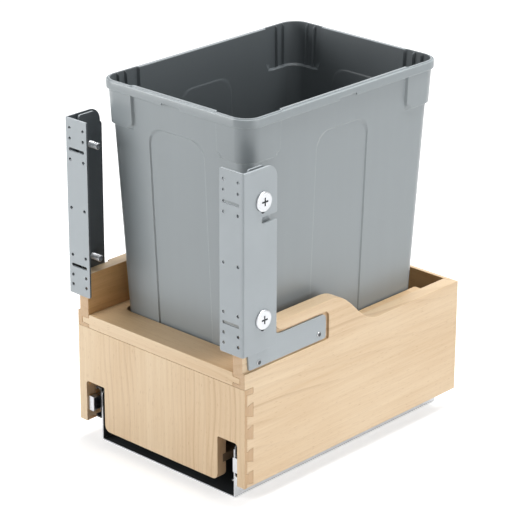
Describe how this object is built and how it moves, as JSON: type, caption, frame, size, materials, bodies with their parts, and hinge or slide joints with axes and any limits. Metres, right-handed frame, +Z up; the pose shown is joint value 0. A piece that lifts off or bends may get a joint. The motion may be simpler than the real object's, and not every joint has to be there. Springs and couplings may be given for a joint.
{
  "type": "pull-out waste cabinet",
  "caption": "Dovetailed maple tray on ball-bearing slides that carries one tall lift-out waste bin, with drilled steel brackets for a cupboard door.",
  "frame": {"origin": "middle of the footprint on the cupboard floor, at the underside of the pan", "axes": "+X to the right of someone facing the front, -Y towards that person, +Z up"},
  "size_m": [0.3276, 0.4354, 0.5128],
  "materials": {
    "maple_wood": "clear-coated pale maple, satin",
    "grey_paint": "smooth light grey powder coat, satin",
    "dark_steel": "dark grey coated sheet steel, satin",
    "bright_zinc": "bright zinc plate",
    "grey_plastic": "mid grey moulded plastic, satin outside",
    "black_plastic": "black soft rubber"
  },
  "bodies": {
    "pan": {"mounting_pan": "dark_steel", "slide_outer_channel_left": "dark_steel", "slide_outer_channel_right": "dark_steel", "pan_rivet_front_left": "bright_zinc", "pan_rivet_front_right": "bright_zinc", "pan_rivet_middle_left": "bright_zinc", "pan_rivet_middle_right": "bright_zinc", "pan_rivet_rear_left": "bright_zinc", "pan_rivet_rear_right": "bright_zinc", "stop_buffer_left": "black_plastic", "stop_buffer_right": "black_plastic"},
    "outer_ball_cages": {"ball_cage_outer_left": "bright_zinc", "ball_cage_outer_right": "bright_zinc"},
    "middle_channels": {"slide_middle_channel_left": "bright_zinc", "slide_middle_channel_right": "bright_zinc"},
    "inner_ball_cages": {"ball_cage_inner_left": "bright_zinc", "ball_cage_inner_right": "bright_zinc"},
    "tray": {"side_panel_left": "maple_wood", "side_panel_right": "maple_wood", "front_panel": "maple_wood", "rear_panel": "maple_wood", "deck_panel": "maple_wood", "base_panel": "maple_wood", "slide_runner_left": "bright_zinc", "slide_runner_right": "bright_zinc", "arm_plate_left": "grey_paint", "arm_plate_right": "grey_paint", "arm_screw_front_left": "bright_zinc", "arm_screw_front_right": "bright_zinc", "arm_screw_rear_left": "bright_zinc", "arm_screw_rear_right": "bright_zinc", "threaded_sleeve_lower_left": "bright_zinc", "threaded_sleeve_lower_right": "bright_zinc", "threaded_sleeve_upper_left": "bright_zinc", "threaded_sleeve_upper_right": "bright_zinc"},
    "bin": {"waste_bin": "grey_plastic"},
    "door_bracket_left": {"door_bracket_left": "grey_paint"},
    "clamp_screw_lower_left": {"clamp_screw_lower_left": "bright_zinc"},
    "clamp_screw_upper_left": {"clamp_screw_upper_left": "bright_zinc"},
    "door_bracket_right": {"door_bracket_right": "grey_paint"},
    "clamp_screw_lower_right": {"clamp_screw_lower_right": "bright_zinc"},
    "clamp_screw_upper_right": {"clamp_screw_upper_right": "bright_zinc"}
  },
  "joints": [
    {"name": "tray_slide", "type": "slide", "parent": "pan", "child": "tray", "axis": [0, -1, 0], "range_m": [0, 0.4]},
    {"name": "outer_cage_roll", "type": "slide", "parent": "pan", "child": "outer_ball_cages", "axis": [0, -1, 0], "range_m": [0, 0.1]},
    {"name": "middle_channel_slide", "type": "slide", "parent": "pan", "child": "middle_channels", "axis": [0, -1, 0], "range_m": [0, 0.2]},
    {"name": "inner_cage_roll", "type": "slide", "parent": "pan", "child": "inner_ball_cages", "axis": [0, -1, 0], "range_m": [0, 0.3]},
    {"name": "bin_lift", "type": "slide", "parent": "tray", "child": "bin", "axis": [0, 0, 1], "range_m": [0, 0.15]},
    {"name": "door_bracket_shift_left", "type": "slide", "parent": "tray", "child": "door_bracket_left", "axis": [0, 0, 1], "range_m": [-0.004, 0.004]},
    {"name": "clamp_turn_lower_left", "type": "hinge", "parent": "tray", "child": "clamp_screw_lower_left", "pos_m": [-0.1605, -0.1822, 0.2589], "axis": [-1, 0, 0], "range_deg": [0, 180]},
    {"name": "clamp_turn_upper_left", "type": "hinge", "parent": "tray", "child": "clamp_screw_upper_left", "pos_m": [-0.1605, -0.1822, 0.4168], "axis": [-1, 0, 0], "range_deg": [0, 180]},
    {"name": "door_bracket_shift_right", "type": "slide", "parent": "tray", "child": "door_bracket_right", "axis": [0, 0, 1], "range_m": [-0.004, 0.004]},
    {"name": "clamp_turn_lower_right", "type": "hinge", "parent": "tray", "child": "clamp_screw_lower_right", "pos_m": [0.1605, -0.1822, 0.2589], "axis": [1, 0, 0], "range_deg": [0, 180]},
    {"name": "clamp_turn_upper_right", "type": "hinge", "parent": "tray", "child": "clamp_screw_upper_right", "pos_m": [0.1605, -0.1822, 0.4168], "axis": [1, 0, 0], "range_deg": [0, 180]}
  ],
  "couplings": [
    {"joint": "outer_cage_roll", "follows": "tray_slide", "ratio": 0.25},
    {"joint": "middle_channel_slide", "follows": "tray_slide", "ratio": 0.5},
    {"joint": "inner_cage_roll", "follows": "tray_slide", "ratio": 0.75}
  ]
}
